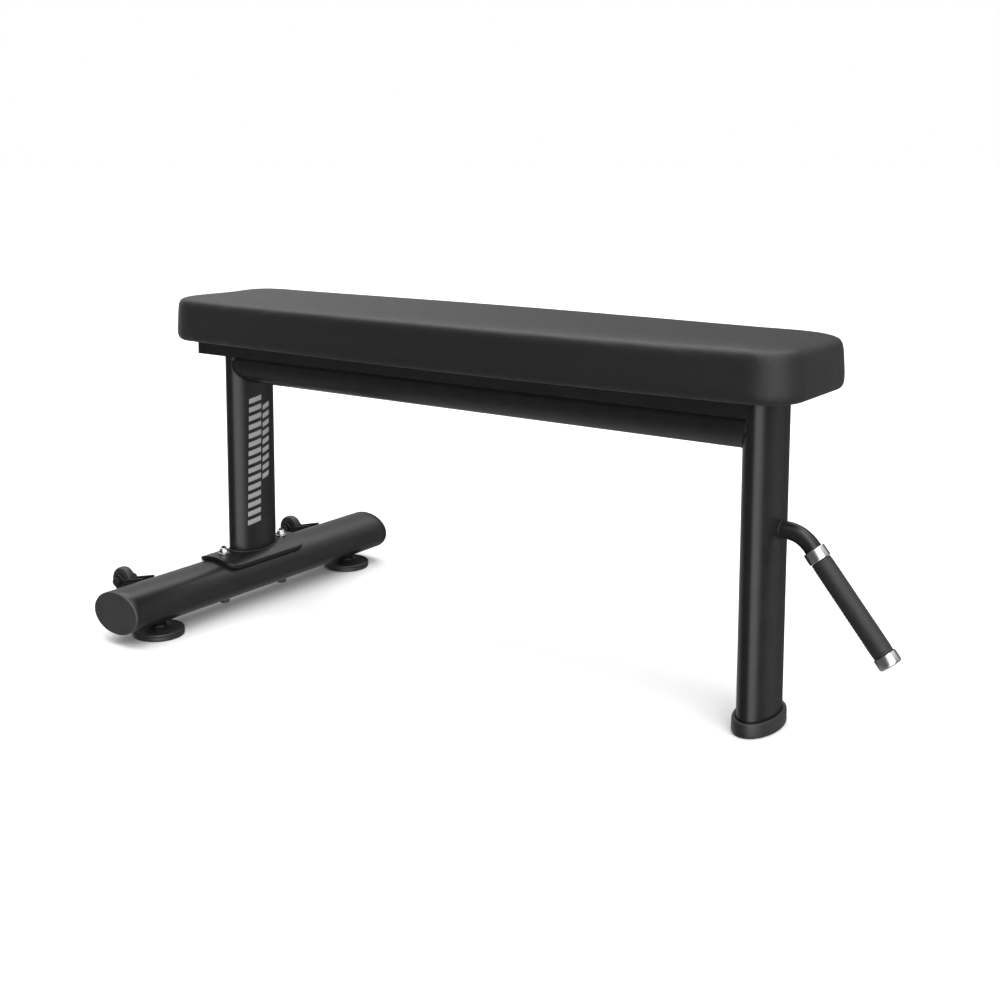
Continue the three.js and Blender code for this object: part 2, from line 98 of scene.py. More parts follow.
BOLT_RADIUS = 4 * MM
BOLT_HOLE = 4.4 * MM
NUT_BORE = 4.05 * MM
STUD_HOLE = 8.4 * MM
PAD_BOLT_ACCESS = 11 * MM
BOARD_HOLE = 5.8 * MM
PAST = 10 * MM
CHANNEL_WALL = 4 * MM
HANDLE_TILT = math.radians(51)
HANDLE_RADIUS = 12 * MM
HANDLE_BEND = 45 * MM
COLLAR_START = 4.5 * MM
COLLAR_LENGTH = 16 * MM
GRIP_LENGTH = 140 * MM
GRIP_RADIUS = 14.6 * MM
SLEEVE_BORE = 12.2 * MM


# ---- camera, lights, floor ----

# The studio's shade by the height of a direction, from straight down at -1 to straight up at 1.
SKY = ((-1.0, 0.42), (-0.75, 0.28), (-0.50, 0.14), (0.0, 0.11), (0.35, 0.17), (0.55, 0.45), (0.72, 1.0),
       (1.0, 1.15))
# Tall panels around the bench: azimuth and half width in degrees, and strength.
PANELS = ((-36, 40, 2.7), (40, 28, 0.3), (160, 45, 0.4))
# Directions, by height, where the panels end and where they reach their full strength.
PANEL_FOOT, PANEL_FULL = -0.72, -0.35


def add_camera():
    data = bpy.data.cameras.new("camera")
    data.sensor_width = 36
    data.lens = 50.88
    data.shift_x = 0.0289
    data.shift_y = -0.1732
    data.clip_end = 50
    camera = bpy.data.objects.new("camera", data)
    scene.collection.objects.link(camera)
    camera.location = (MID_X + 1.23267, -1.71752, 0.77712)
    camera.rotation_euler = (math.radians(90 - 7.234), 0, math.radians(35.82))
    scene.camera = camera


def add_world():
    """A white backdrop, and around it a darker studio whose panels give the reflections."""
    world = bpy.data.worlds.new("studio")
    world.use_nodes = True
    tree = world.node_tree

    def node(kind, **inputs):
        made = tree.nodes.new("ShaderNode" + kind)
        for name, value in inputs.items():
            made.inputs[name.replace("_", " ")].default_value = value
        return made

    def total(first, second):
        made = node("Math")
        tree.links.new(first, made.inputs[0])
        tree.links.new(second, made.inputs[1])
        return made.outputs["Value"]

    def panel(azimuth, half_width, strength):
        """A tall soft panel at an azimuth, in degrees from +X, that fades out towards the floor."""
        turn = math.radians(azimuth)
        facing = node("VectorMath")
        facing.operation = "DOT_PRODUCT"
        facing.inputs[1].default_value = (math.cos(turn), math.sin(turn), 0)
        tree.links.new(level.outputs["Vector"], facing.inputs[0])
        edge = node("MapRange", From_Min=math.cos(math.radians(half_width)), From_Max=1.0, To_Max=strength)
        edge.interpolation_type = "SMOOTHSTEP"
        tree.links.new(facing.outputs["Value"], edge.inputs["Value"])
        faded = node("Math")
        faded.operation = "MULTIPLY"
        tree.links.new(edge.outputs["Result"], faded.inputs[0])
        tree.links.new(fade.outputs["Result"], faded.inputs[1])
        return faded.outputs["Value"]

    place = node("TexCoord")
    split = node("SeparateXYZ")
    tree.links.new(place.outputs["Generated"], split.inputs["Vector"])
    flat = node("CombineXYZ")
    tree.links.new(split.outputs["X"], flat.inputs["X"])
    tree.links.new(split.outputs["Y"], flat.inputs["Y"])
    level = node("VectorMath")
    level.operation = "NORMALIZE"
    tree.links.new(flat.outputs["Vector"], level.inputs[0])
    fade = node("MapRange", From_Min=PANEL_FOOT, From_Max=PANEL_FULL)
    fade.interpolation_type = "SMOOTHSTEP"
    tree.links.new(split.outputs["Z"], fade.inputs["Value"])
    rise = node("MapRange", From_Min=-1.0, From_Max=1.0)
    tree.links.new(split.outputs["Z"], rise.inputs["Value"])
    ramp = node("ValToRGB")
    elements = ramp.color_ramp.elements
    while len(elements) < len(SKY):
        elements.new(0.5)
    for element, (height, shade) in zip(elements, SKY):
        element.position = (height + 1) / 2
        element.color = (shade, shade, shade, 1)
    tree.links.new(rise.outputs["Result"], ramp.inputs["Fac"])
    shade = ramp.outputs["Color"]
    for azimuth, half_width, strength in PANELS:
        shade = total(shade, panel(azimuth, half_width, strength))
    surround = node("Background")
    tree.links.new(shade, surround.inputs["Color"])
    backdrop = node("Background", Color=(1, 1, 1, 1))
    path = node("LightPath")
    mix = node("MixShader")
    tree.links.new(path.outputs["Is Camera Ray"], mix.inputs["Fac"])
    tree.links.new(surround.outputs["Background"], mix.inputs[1])
    tree.links.new(backdrop.outputs["Background"], mix.inputs[2])
    tree.links.new(mix.outputs["Shader"], tree.nodes["World Output"].inputs["Surface"])
    scene.world = world


def add_studio():
    scene.view_settings.view_transform = "Standard"
    add_world()
    dome = bpy.data.lights.new("dome", "SUN")
    dome.energy = 1.9
    dome.angle = math.radians(75)
    light = bpy.data.objects.new("dome", dome)
    scene.collection.objects.link(light)
    light.rotation_euler = (math.radians(-8), math.radians(-10), 0)
    mesh = bpy.data.meshes.new("floor")
    reach = 60.0
    mesh.from_pydata([(-reach, -reach, 0), (reach, -reach, 0), (reach, reach, 0), (-reach, reach, 0)],
                     [], [(0, 1, 2, 3)])
    floor = bpy.data.objects.new("floor", mesh)
    scene.collection.objects.link(floor)
    floor.location.z = -0.5 * MM
    floor.data.materials.append(floor_material())
    floor.visible_glossy = False
    floor.visible_shadow = False


# ---- material nodes ----

class Surface:
    """A Principled material whose colour, roughness and bump come from named node recipes."""

    def __init__(self, name, **constants):
        self.material = bpy.data.materials.new(name)
        self.material.use_nodes = True
        self.tree = self.material.node_tree
        self.shader = self.tree.nodes["Principled BSDF"]
        for socket, value in constants.items():
            self.shader.inputs[socket.replace("_", " ")].default_value = value
        coordinates = self.tree.nodes.new("ShaderNodeTexCoord")
        self.place = coordinates.outputs["Object"]
        self.height = None

    def link(self, source, socket):
        self.tree.links.new(source, socket)

    def stretched(self, scale):
        mapping = self.tree.nodes.new("ShaderNodeMapping")
        mapping.inputs["Scale"].default_value = scale
        self.link(self.place, mapping.inputs["Vector"])
        return mapping.outputs["Vector"]

    def noise(self, scale, detail=3.0, rough=0.5, stretch=(1, 1, 1)):
        node = self.tree.nodes.new("ShaderNodeTexNoise")
        node.inputs["Scale"].default_value = scale
        node.inputs["Detail"].default_value = detail
        node.inputs["Roughness"].default_value = rough
        self.link(self.stretched(stretch), node.inputs["Vector"])
        return node.outputs["Fac"]

    def cells(self, scale, feature="F1", warp=0.0, stretch=(1, 1, 1)):
        node = self.tree.nodes.new("ShaderNodeTexVoronoi")
        node.feature = feature
        node.inputs["Scale"].default_value = scale
        vector = self.stretched(stretch)
        if warp:
            wobble = self.tree.nodes.new("ShaderNodeTexNoise")
            wobble.inputs["Scale"].default_value = scale * 0.6
            self.link(vector, wobble.inputs["Vector"])
            shift = self.tree.nodes.new("ShaderNodeVectorMath")
            shift.operation = "MULTIPLY_ADD"
            shift.inputs[1].default_value = (warp, warp, warp)
            self.link(wobble.outputs["Color"], shift.inputs[0])
            self.link(vector, shift.inputs[2])
            vector = shift.outputs[0]
        self.link(vector, node.inputs["Vector"])
        return node.outputs["Distance"]

    def span(self, value, low, high, start=0.2, end=0.8):
        node = self.tree.nodes.new("ShaderNodeMapRange")
        node.inputs["From Min"].default_value = start
        node.inputs["From Max"].default_value = end
        node.inputs["To Min"].default_value = low
        node.inputs["To Max"].default_value = high
        self.link(value, node.inputs["Value"])
        return node.outputs["Result"]

    def roughness(self, value, low, high, start=0.2, end=0.8):
        self.link(self.span(value, low, high, start, end), self.shader.inputs["Roughness"])
        return self

    def colours(self, value, *stops):
        ramp = self.tree.nodes.new("ShaderNodeValToRGB")
        elements = ramp.color_ramp.elements
        while len(elements) < len(stops):
            elements.new(0.5)
        for element, (position, colour) in zip(elements, stops):
            element.position = position
            element.color = (*colour, 1)
        self.link(value, ramp.inputs["Fac"])
        self.link(ramp.outputs["Color"], self.shader.inputs["Base Color"])
        return self

    def bump(self, value, distance, strength=1.0):
        node = self.tree.nodes.new("ShaderNodeBump")
        node.inputs["Distance"].default_value = distance
        node.inputs["Strength"].default_value = strength
        self.link(value, node.inputs["Height"])
        if self.height is not None:
            self.link(self.height, node.inputs["Normal"])
        self.height = node.outputs["Normal"]
        self.link(self.height, self.shader.inputs["Normal"])
        return self


def grey(value, warm=0.0):
    return (value * (1 + warm), value, value * (1 - warm))


def floor_material():
    surface = Surface("floor", Roughness=0.9)
    surface.shader.inputs["Specular IOR Level"].default_value = 0.1
    surface.colours(surface.noise(3), (0.3, grey(0.885)), (0.7, grey(0.895)))
    return surface.material


def paint_material():
    surface = Surface("frame_paint", Specular_IOR_Level=0.42)
    surface.colours(surface.noise(40, 4), (0.2, grey(0.0050)), (0.8, grey(0.0090)))
    surface.roughness(surface.noise(30, 4), 0.285, 0.335)
    surface.bump(surface.noise(700, 2), 0.03 * MM, 0.4)
    return surface.material


def vinyl_material():
    surface = Surface("upholstery", Specular_IOR_Level=0.38, Sheen_Weight=0.03, Sheen_Roughness=0.4)
    grain = surface.cells(620, "F1", warp=0.35)
    surface.colours(grain, (0.0, grey(0.0105)), (0.55, grey(0.0080)), (1.0, grey(0.0055)))
    surface.roughness(surface.noise(160, 4), 0.33, 0.47)
    surface.bump(surface.noise(240, 3), 0.35 * MM, 0.35)
    surface.bump(surface.noise(2200, 2), 0.04 * MM, 0.35)
    surface.bump(grain, 0.16 * MM, 0.5)
    return surface.material


def plywood_material():
    surface = Surface("plywood")
    grain = surface.noise(16, 8, 0.65, stretch=(1, 14, 14))
    surface.colours(grain, (0.3, (0.30, 0.18, 0.09)), (0.5, (0.47, 0.31, 0.17)), (0.72, (0.58, 0.42, 0.25)))
    surface.roughness(grain, 0.62, 0.8)
    surface.bump(grain, 0.25 * MM, 0.5)
    return surface.material


def rubber_material(name="black_rubber", shade=0.007, dust=0.012, smooth=0.40, rough=0.55):
    surface = Surface(name, Sheen_Weight=0.04)
    surface.colours(surface.noise(30, 6, 0.6), (0.2, grey(shade)), (0.8, grey(dust)))
    surface.roughness(surface.noise(60, 4), smooth, rough)
    surface.bump(surface.noise(1500, 3), 0.08 * MM, 0.6)
    return surface.material


def grip_material():
    surface = Surface("grip_rubber", Sheen_Weight=0.05, Sheen_Roughness=0.5)
    pores = surface.cells(900, "F1", warp=0.2)
    surface.colours(pores, (0.1, grey(0.010)), (0.6, grey(0.007)), (0.9, grey(0.004)))
    surface.roughness(surface.noise(50, 4), 0.40, 0.50)
    surface.bump(pores, 0.12 * MM, 0.6)
    return surface.material


def plastic_material():
    surface = Surface("black_plastic")
    surface.colours(surface.noise(25, 5), (0.2, grey(0.017)), (0.8, grey(0.029)))
    surface.roughness(surface.noise(45, 4), 0.40, 0.52)
    surface.bump(surface.noise(1300, 2), 0.07 * MM, 0.6)
    return surface.material


def bright_material():
    surface = Surface("bright_metal", Metallic=1.0, Anisotropic=0.4)
    lines = surface.noise(120, 4, 0.7, stretch=(1, 22, 1))
    surface.colours(lines, (0.3, grey(0.56)), (0.7, grey(0.68)))
    surface.roughness(lines, 0.16, 0.27)
    surface.bump(lines, 0.03 * MM, 0.5)
    return surface.material


def zinc_material():
    surface = Surface("zinc_steel", Metallic=1.0)
    patches = surface.noise(260, 5, 0.6)
    surface.colours(patches, (0.3, (0.50, 0.51, 0.53)), (0.7, (0.66, 0.67, 0.68)))
    surface.roughness(patches, 0.26, 0.42)
    surface.bump(surface.noise(900, 4), 0.04 * MM, 0.5)
    return surface.material


def black_steel_material():
    surface = Surface("black_steel", Metallic=0.6)
    patches = surface.noise(240, 5, 0.6)
    surface.colours(patches, (0.3, grey(0.020)), (0.7, grey(0.034)))
    surface.roughness(patches, 0.34, 0.5)
    surface.bump(surface.noise(900, 4), 0.04 * MM, 0.5)
    return surface.material


def marking_material():
    surface = Surface("marking", Roughness=0.4)
    surface.colours(surface.noise(500, 5, 0.6), (0.3, grey(0.22)), (0.7, grey(0.27)))
    surface.bump(surface.noise(900, 2), 0.03 * MM, 0.4)
    return surface.material


def staple_material():
    surface = Surface("staple", Metallic=1.0)
    surface.colours(surface.noise(400, 4), (0.3, grey(0.42)), (0.7, grey(0.55)))
    surface.roughness(surface.noise(300, 3), 0.3, 0.45)
    return surface.material


MATERIALS = {
    "frame_paint": paint_material(),
    "upholstery": vinyl_material(),
    "plywood": plywood_material(),
    "black_rubber": rubber_material(),
    "tyre_rubber": rubber_material("tyre_rubber", 0.014, 0.024, 0.5, 0.65),
    "grip_rubber": grip_material(),
    "black_plastic": plastic_material(),
    "bright_metal": bright_material(),
    "zinc_steel": zinc_material(),
    "black_steel": black_steel_material(),
}
# Columns of printed bars: how many, the lowest one's height, its left and right side, and the shift per bar.
MARKING_COLUMNS = ((15, 138 * MM, -31 * MM, -5 * MM, 0.45 * MM), (9, 214 * MM, 1 * MM, 18 * MM, 0.45 * MM))
MARKING = marking_material()
STAPLE = staple_material()


# ---- pieces ----

def finish_mesh(mesh, sharp=32):
    mesh.validate()
    for polygon in mesh.polygons:
        polygon.use_smooth = True
    mesh.set_sharp_from_angle(angle=math.radians(sharp))


def piece(name, mesh, slot, body="frame", nodes=(), sharp=32, material=None):
    """Puts a mesh in the scene, on its body, in the place of the CAD nodes it stands for."""
    finish_mesh(mesh, sharp)
    made = bpy.data.objects.new(name, mesh)
    scene.collection.objects.link(made)
    made.data.materials.clear()
    made.data.materials.append(material or MATERIALS[slot])
    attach(made, body)
    if nodes:
        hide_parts(*nodes)
    return made


def skin(node, mesh, slot, body="frame", sharp=32):
    """A finer piece that stands for one CAD node."""
    return piece(f"{node}_skin", mesh, slot, body, [node], sharp)


def mesh_of(points, faces):
    mesh = bpy.data.meshes.new("mesh")
    mesh.from_pydata([tuple(point) for point in points], [], faces)
    work = bmesh.new()
    work.from_mesh(mesh)
    bmesh.ops.remove_doubles(work, verts=work.verts, dist=1e-6)
    bmesh.ops.recalc_face_normals(work, faces=work.faces)
    work.to_mesh(mesh)
    work.free()
    return mesh


def merged(*meshes):
    work = bmesh.new()
    for mesh in meshes:
        work.from_mesh(mesh)
    result = bpy.data.meshes.new("merged")
    work.to_mesh(result)
    work.free()
    return result


def moved(mesh, matrix):
    mesh.transform(matrix)
    return mesh


def placed(mesh, place):
    return moved(mesh, Matrix.Translation(place))


def bevelled(mesh, width, segments=3, angle=30):
    """Rounds every edge sharper than the angle."""
    work = bmesh.new()
    work.from_mesh(mesh)
    limit = math.radians(angle)
    edges = [edge for edge in work.edges if edge.is_manifold and edge.calc_face_angle(0) > limit]
    bmesh.ops.bevel(work, geom=edges, offset=width, offset_type="OFFSET", segments=segments, profile=0.5,
                    affect="EDGES", clamp_overlap=True)
    bmesh.ops.recalc_face_normals(work, faces=work.faces)
    work.to_mesh(mesh)
    work.free()
    return mesh


def loops(rings, closed=True):
    """Skins a list of point rings of equal size. A closed skin joins the last ring to the first."""
    count = len(rings[0])
    points = [point for ring in rings for point in ring]
    faces = []
    total = len(rings)
    for i in range(total if closed else total - 1):
        for j in range(count):
            a, b = i * count, (i + 1) % total * count
            k = (j + 1) % count
            faces.append((a + j, a + k, b + k, b + j))
    if not closed:
        faces.append(tuple(range(count))[::-1])
        faces.append(tuple(range((total - 1) * count, total * count)))
    return mesh_of(points, faces)


def circle(count):
    return [2 * math.pi * i / count for i in range(count)]


def oval(a, b, count, *height):
    """An oval's points in XY, at a height if one is given."""
    return [(a * math.cos(t), b * math.sin(t), *height) for t in circle(count)]


def turned(profile, count=64, closed=True):
    """Turns a profile of (radius, height) points about Z. A closed profile makes a ring."""
    return loops([oval(radius, radius, count, z) for radius, z in profile], closed)


def rounded(points, radius, steps=4):
    """Rounds the corners of a closed outline of 2-D points. A point may carry its own radius."""
    result = []
    total = len(points)
    for i, point in enumerate(points):
        corner = Vector(point[:2])
        size = point[2] if len(point) > 2 else radius
        before = Vector(points[i - 1][:2]) - corner
        after = Vector(points[(i + 1) % total][:2]) - corner
        if size <= 0:
            result.append(tuple(corner))
            continue
        half = before.angle(after) / 2
        reach = min(size / math.tan(half), 0.49 * before.length, 0.49 * after.length)
        first = corner + before.normalized() * reach
        last = corner + after.normalized() * reach
        for step in range(steps + 1):
            t = step / steps
            result.append(tuple(first * (1 - t) ** 2 + corner * 2 * t * (1 - t) + last * t ** 2))
    return result


def oval_tube(a, b, wall, start, end, axis, count=96, cuts=24, rim=0.6 * MM):
    """A hollow oval tube along an axis. start and end give the cut, as functions of the section's angle."""
    rings = []
    stations = [i / cuts for i in range(cuts + 1)]
    outer = [(a, b, t, 0) for t in stations]
    inner = [(a - wall, b - wall, t, 0) for t in reversed(stations)]
    outer[0] = (a - rim, b - rim, 0, 0)
    outer.insert(1, (a - rim * 0.3, b - rim * 0.3, 0, rim * 0.3))
    outer.insert(2, (a, b, 0, rim))
    outer[-1] = (a, b, 1, -rim)
    outer.append((a - rim * 0.3, b - rim * 0.3, 1, -rim * 0.3))
    outer.append((a - rim, b - rim, 1, 0))
    for half_a, half_b, t, push in outer + inner:
        ring = []
        for angle in circle(count):
            u, v = half_a * math.cos(angle), half_b * math.sin(angle)
            low, high = start(angle), end(angle)
            along = low + (high - low) * t + push
            ring.append({"x": (along, u, v), "y": (u, along, v), "z": (u, v, along)}[axis])
        rings.append(ring)
    return loops(rings)


def prism(outline, low, high):
    """A solid prism of an outline in XY."""
    return loops([[(x, y, z) for x, y in outline] for z in (low, high)], closed=False)


def drilled(mesh, *tools):
    """Cuts closed tool meshes out of a mesh."""
    target = bpy.data.objects.new("target", mesh)
    scene.collection.objects.link(target)
    cutters = []
    for tool in tools:
        cutter = bpy.data.objects.new("cutter", tool)
        scene.collection.objects.link(cutter)
        modifier = target.modifiers.new("cut", "BOOLEAN")
        modifier.object = cutter
        modifier.solver = "EXACT"
        cutters.append(cutter)
    result = bpy.data.meshes.new_from_object(target.evaluated_get(bpy.context.evaluated_depsgraph_get()))
    for made in (target, *cutters):
        bpy.data.objects.remove(made)
    return result


def drill(radius, low, high, x, y):
    return placed(prism(oval(radius, radius, 32), low, high), (x, y, 0))


def bead(points, radius, seed, ripple=0.35 * MM, pitch=3.2 * MM):
    """A weld bead around a closed path: a round section whose size ripples along it."""
    rng = random.Random(seed)
    path = [Vector(point) for point in points]
    total = len(path)
    rings = []
    travelled = 0.0
    for i, point in enumerate(path):
        along = (path[(i + 1) % total] - path[i - 1]).normalized()
        side = along.cross(Vector((0, 0, 1))) if abs(along.z) < 0.9 else along.cross(Vector((1, 0, 0)))
        side.normalize()
        up = side.cross(along)
        travelled += (point - path[i - 1]).length if i else 0
        size = radius + ripple * abs(math.sin(math.pi * travelled / pitch)) + rng.uniform(-0.1, 0.1) * MM
        rings.append([point + side * size * math.cos(a) + up * size * math.sin(a) for a in circle(10)])
    return loops(rings)


# ---- frame tubes ----

SADDLE_LIFT = 3.0 * MM
SADDLE_UNDERCUT = 0.94


def on_saddle(x_offset, grow):
    """Height of the base tube's outside, grown, above a point offset from its middle."""
    a, b = BASE_A + grow, BASE_B + grow
    return BASE.z + b * math.sqrt(max(0.0, 1 - (x_offset / a) ** 2))


def against_upright(y, grow=GAP):
    """How far an upright's outside, grown, reaches along X at a given Y."""
    a, b = UP_A + grow, UP_B + grow
    return a * math.sqrt(max(0.0, 1 - (y / b) ** 2))


def add_base():
    half = (base_high.y - base_low.y) / 2
    tube = oval_tube(BASE_A, BASE_B, WALL, lambda a: -half, lambda a: half, "y", cuts=60)
    tube = placed(tube, BASE)
    holes = []
    for end in ENDS:
        bolt = box(f"saddle_bolt_{end}")[2]
        stud = box(f"foot_stud_{end}")[2]
        holes.append(drill(BOLT_HOLE, 0, SADDLE_TOP, bolt.x, bolt.y))
        holes.append(drill(STUD_HOLE, 0, BASE.z, stud.x, stud.y))
    skin("base_tube", drilled(tube, *holes), "frame_paint")
    for end, side in zip(ENDS, (-1, 1)):
        at = Vector((BASE.x, side * (half + GAP), BASE.z))
        cap = placed(base_cap(side), at)
        skin(f"base_end_cap_{end}", cap, "black_plastic", sharp=50)


def base_cap(side):
    """An oval cap whose rim is rolled and whose face lies a little inside it, with a hollow plug behind."""
    disc, plug_depth, plug_wall = 4 * MM, 18 * MM, 3 * MM
    inside = WALL + 0.4 * MM

    def ring(inset, out):
        return [(x, side * out, z) for x, z in oval(BASE_A - inset, BASE_B - inset, 96)]

    bore = inside + plug_wall
    rings = [ring(bore, 1 * MM), ring(bore, -plug_depth), ring(inside, -plug_depth), ring(inside, 0)]
    face = 0.86
    rim = ((0, 0), (0, 0.55), (0.8, 0.85), (1.9, 1.0), (3.2, 1.0), (3.8, 0.90), (4.3, face))
    rings += [ring(inset * MM, disc * out) for inset, out in rim]
    for scale in (0.80, 0.45, 0.15):
        rings.append([(x, side * disc * face, z) for x, z in oval(BASE_A * scale, BASE_B * scale, 96)])
    return loops(rings, closed=False)


def add_saddle():
    """The saddle plate: bent a little less than the tube under it, so that its long edges stand off."""
    half_x = (saddle_high.x - saddle_low.x) / 2
    half_y = (saddle_high.y - saddle_low.y) / 2
    radius = 24 * MM
    columns, rows = 40, 60
    top, bottom = [], []
    for i in range(rows + 1):
        y = half_y * math.sin(math.pi / 2 * (-1 + 2 * i / rows))
        past = max(0.0, abs(y) - (half_y - radius))
        reach = half_x - radius + math.sqrt(max(0.0, radius ** 2 - past ** 2))
        top.append([])
        bottom.append([])
        for j in range(columns + 1):
            x = reach * math.sin(math.pi / 2 * (-1 + 2 * j / columns))
            lift = SADDLE_LIFT * (abs(x) / half_x) ** 3
            under = x * SADDLE_UNDERCUT
            top[-1].append((x, y, on_saddle(x * 0.985, SADDLE_GROW) + lift))
            bottom[-1].append((under, y, on_saddle(under, GAP) + lift))
    points = [p for row in top for p in row] + [p for row in bottom for p in row]
    width = columns + 1
    offset = len(points) // 2
    faces = []
    for i in range(rows):
        for j in range(columns):
            a = i * width + j
            faces.append((a, a + 1, a + 1 + width, a + width))
            faces.append((offset + a, offset + a + width, offset + a + 1 + width, offset + a + 1))
    rim = list(range(width)) + [i * width + columns for i in range(1, rows + 1)]
    rim += [rows * width + j for j in range(columns - 1, -1, -1)]
    rim += [i * width for i in range(rows - 1, 0, -1)]
    for k, a in enumerate(rim):
        b = rim[(k + 1) % len(rim)]
        faces.append((a, offset + a, offset + b, b))
    plate = bevelled(mesh_of(points, faces), 1.0 * MM, 2, angle=45)
    plate = placed(plate, (BASE.x, 0, 0))
    above = SADDLE_TOP + 20 * MM
    holes = [drill(BOLT_HOLE, BASE.z, above, BASE.x, box(f"saddle_bolt_{end}")[2].y) for end in ENDS]
    skin("saddle_plate", drilled(plate, *holes), "frame_paint")


def add_uprights():
    def foot(a):
        return on_saddle(UP_A * math.cos(a), SADDLE_GROW + GAP)

    tube = oval_tube(UP_A, UP_B, WALL, foot, lambda a: wheel_high.z, "z")
    tube = placed(tube, (WHEEL_UP.x, 0, 0))
    skin("wheel_end_upright", tube, "frame_paint")

    tube = oval_tube(UP_A, UP_B, WALL, lambda a: handle_low.z, lambda a: handle_high.z, "z")
    tube = placed(tube, (HANDLE_UP.x, 0, 0))
    reach = 30 * MM
    hole = turned([(HANDLE_RADIUS, -reach), (HANDLE_RADIUS, reach)], 40, closed=False)
    hole = moved(hole, Matrix.Rotation(math.pi / 2, 4, "Y"))
    exit_z = box("handle_tube")[1].z - HANDLE_RADIUS
    hole = placed(hole, (HANDLE_UP.x + UP_A, 0, exit_z))
    skin("handle_end_upright", drilled(tube, hole), "frame_paint")

    low, high, _ = box("upright_top_plate")
    plate = bevelled(prism(oval(UP_A, UP_B, 96), low.z, high.z), 0.8 * MM, 2)
    plate = placed(plate, (HANDLE_UP.x, 0, 0))
    skin("upright_top_plate", plate, "frame_paint")


def add_crossbar():
    def left(a):
        return WHEEL_UP.x + against_upright(BAR_A * math.cos(a))

    def right(a):
        return HANDLE_UP.x - against_upright(BAR_A * math.cos(a))

    tube = oval_tube(BAR_A, BAR_B, WALL, left, right, "x", cuts=60, rim=0.3 * MM)
    tube = placed(tube, (0, 0, BAR.z))
    holes = []
    for place in PAD_PLACES:
        x = box(f"pad_bolt_{place}")[2].x
        holes.append(drill(PAD_BOLT_ACCESS, bar_low.z - PAST, BAR.z, x, 0))
        holes.append(drill(BOLT_HOLE, BAR.z, bar_high.z + PAST, x, 0))
    skin("crossbar", drilled(tube, *holes), "frame_paint")


def add_channel():
    half, inner = CHANNEL_HALF, CHANNEL_HALF - CHANNEL_WALL
    low, high = channel_low.z, channel_high.z
    web = high - CHANNEL_WALL
    lip, root, corner = 0.5 * MM, 1 * MM, 4 * MM
    outline = [(-half, low, lip), (-inner, low, lip), (-inner, web, root), (inner, web, root),
               (inner, low, lip), (half, low, lip), (half, high, corner), (-half, high, corner)]
    section = rounded(outline, root, 5)
    dense = []
    for i, point in enumerate(section):
        after = section[(i + 1) % len(section)]
        pieces = max(1, int(abs(after[0] - point[0]) / (2.5 * MM)))
        start, step = Vector(point), (Vector(after) - Vector(point)) / pieces
        dense += [tuple(start + step * k) for k in range(pieces)]
    rings = []
    cuts = 50
    for i in range(cuts + 1):
        ring = []
        for y, z in dense:
            end = HANDLE_UP.x - against_upright(y)
            ring.append((channel_low.x + (end - channel_low.x) * i / cuts, y, z))
        rings.append(ring)
    mesh = loops(rings, closed=False)
    holes = [drill(BOLT_HOLE, low, high + PAST, box(f"pad_bolt_{place}")[2].x, 0) for place in PAD_PLACES]
    skin("pad_channel", drilled(mesh, *holes), "frame_paint")


def add_welds():
    foot = [(WHEEL_UP.x + x, y, on_saddle(x, SADDLE_GROW) + 0.6 * MM)
            for x, y in oval(UP_A + 1 * MM, UP_B + 1 * MM, 360)]
    welds = [bead(foot, 1.6 * MM, 3)]
    for middle, side in ((WHEEL_UP.x, 1), (HANDLE_UP.x, -1)):
        path = []
        for y, z in oval(BAR_A + 0.4 * MM, BAR_B + 0.4 * MM, 300):
            path.append((middle + side * (against_upright(y) + 0.6 * MM), y, BAR.z + z))
        welds.append(bead(path, 0.9 * MM, 5 + side, ripple=0.15 * MM))
    exit_z = box("handle_tube")[1].z - HANDLE_RADIUS
    weld_radius = HANDLE_RADIUS + 0.6 * MM
    path = [(HANDLE_UP.x + against_upright(y) + 0.4 * MM, y, exit_z + z)
            for y, z in oval(weld_radius, weld_radius, 120)]
    welds.append(bead(path, 1.0 * MM, 9, ripple=0.2 * MM))
    piece("frame_welds", merged(*welds), "frame_paint", sharp=60)


def add_marking():
    """Two columns of plain slanted bars, printed on the broad inner face of the wheel-end upright."""
    lift = 0.05 * MM
    thick = 0.12 * MM

    def patch(y_low, y_high, z_low, z_high, slant):
        columns = 8
        edges = []
        for grow in (lift + thick, lift):
            for z in (z_low, z_high):
                row = []
                for i in range(columns + 1):
                    t = i / columns
                    y = y_low + (y_high - y_low) * t
                    row.append((WHEEL_UP.x + against_upright(y, grow), y, z + slant * (t - 0.5)))
                edges.append(row)
        outer_low, outer_high, inner_low, inner_high = edges
        return loops(list(zip(outer_low, outer_high, inner_high, inner_low)), closed=False)

    bar, pitch, slant = 8.5 * MM, 15 * MM, 5 * MM
    patches = []
    for count, bottom, left, right, lean in MARKING_COLUMNS:
        for i in range(count):
            z = bottom + i * pitch
            shift = lean * i
            patches.append(patch(left + shift, right + shift, z, z + bar, slant))
    piece("upright_marking", merged(*patches), "frame_paint", material=MARKING)


# ---- fixings ----

